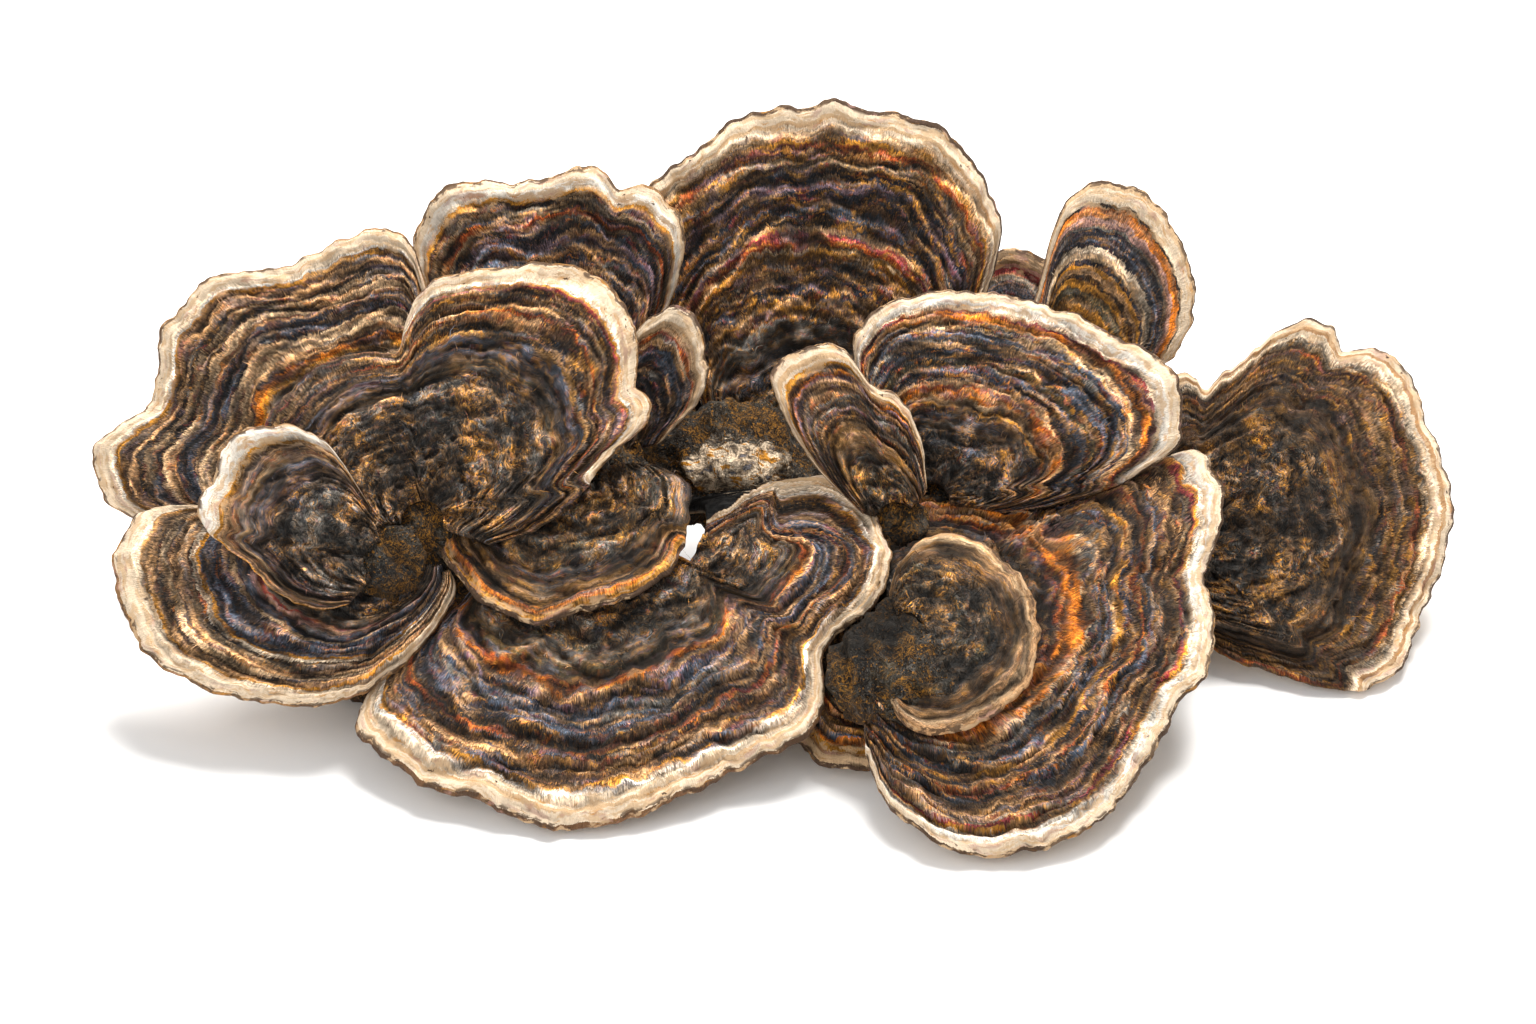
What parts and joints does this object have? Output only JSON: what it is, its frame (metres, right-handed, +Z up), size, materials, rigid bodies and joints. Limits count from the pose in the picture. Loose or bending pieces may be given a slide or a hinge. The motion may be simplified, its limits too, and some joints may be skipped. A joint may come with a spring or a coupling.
{
  "type": "turkey tail fungus",
  "caption": "Dried clump of overlapping, fan-shaped bracket fungus caps with concentric colour bands, grown from one woody base that is cut off flat",
  "frame": {"origin": "bottom centre of the bounding box, on the plane of the flat cut that the clump rests on", "axes": "+X to the viewer's right along the clump, +Y away from the viewer, +Z up; the zoned upper faces of the caps lean towards the viewer"},
  "size_m": [0.1643, 0.0854, 0.0539],
  "materials": {
    "base": "dark, rough woody holdfast with felted hairs and ochre moss-like tufts; cream, matt underneath",
    "cap_left_back": "velvety, in bands of tan, grey-brown and purple-grey, with a cream margin and a black-grey felted hub",
    "cap_back_left": "velvety, in bands of brown, blue-grey and purple-grey, with a cream margin",
    "cap_centre_left": "velvety, in bands of brown, blue-grey and purple-grey, with a cream margin and a black, hairy hub",
    "cap_left_small": "velvety, in bands of tan and purple-grey, with a cream margin",
    "cap_left_front": "velvety, in bands of tan and grey-brown, with a broad cream margin",
    "cap_front": "velvety, in bands of tan, brown and grey, with a broad cream margin and a red-brown inner band",
    "cap_front_inner": "dark olive felt with a reddish orange edge",
    "cap_back": "velvety, in bands of tan, brown and blue-black with reddish patches, and a pale margin",
    "cap_back_right": "velvety, clearly banded cream, tan, orange and blue-black, with a cream margin",
    "cap_back_tiny": "velvety, in bands of reddish pink and grey",
    "cap_centre_right": "velvety, in bands of tan, orange and red-brown, with a cream margin",
    "cap_tongue": "velvety, in bands of tan and brown, with a cream margin",
    "cap_right_front": "velvety, in bands of tan, brown and crimson, with a broad cream margin",
    "cap_right_inner": "mossy ochre and olive felt with a vivid orange edge",
    "cap_under": "velvety, ochre and tan",
    "cap_curl": "velvety, in bands of tan and grey-brown, with a cream margin",
    "cap_right": "velvety, in bands of tan, brown and purple-grey, with a cream margin and a smooth dark hub"
  },
  "bodies": {
    "root": {"base": "base", "cap_left_back": "cap_left_back", "cap_back_left": "cap_back_left", "cap_centre_left": "cap_centre_left", "cap_left_small": "cap_left_small", "cap_left_front": "cap_left_front", "cap_front": "cap_front", "cap_front_inner": "cap_front_inner", "cap_back": "cap_back", "cap_back_right": "cap_back_right", "cap_back_tiny": "cap_back_tiny", "cap_centre_right": "cap_centre_right", "cap_tongue": "cap_tongue", "cap_right_front": "cap_right_front", "cap_right_inner": "cap_right_inner", "cap_under": "cap_under", "cap_curl": "cap_curl", "cap_right": "cap_right"}
  },
  "joints": []
}
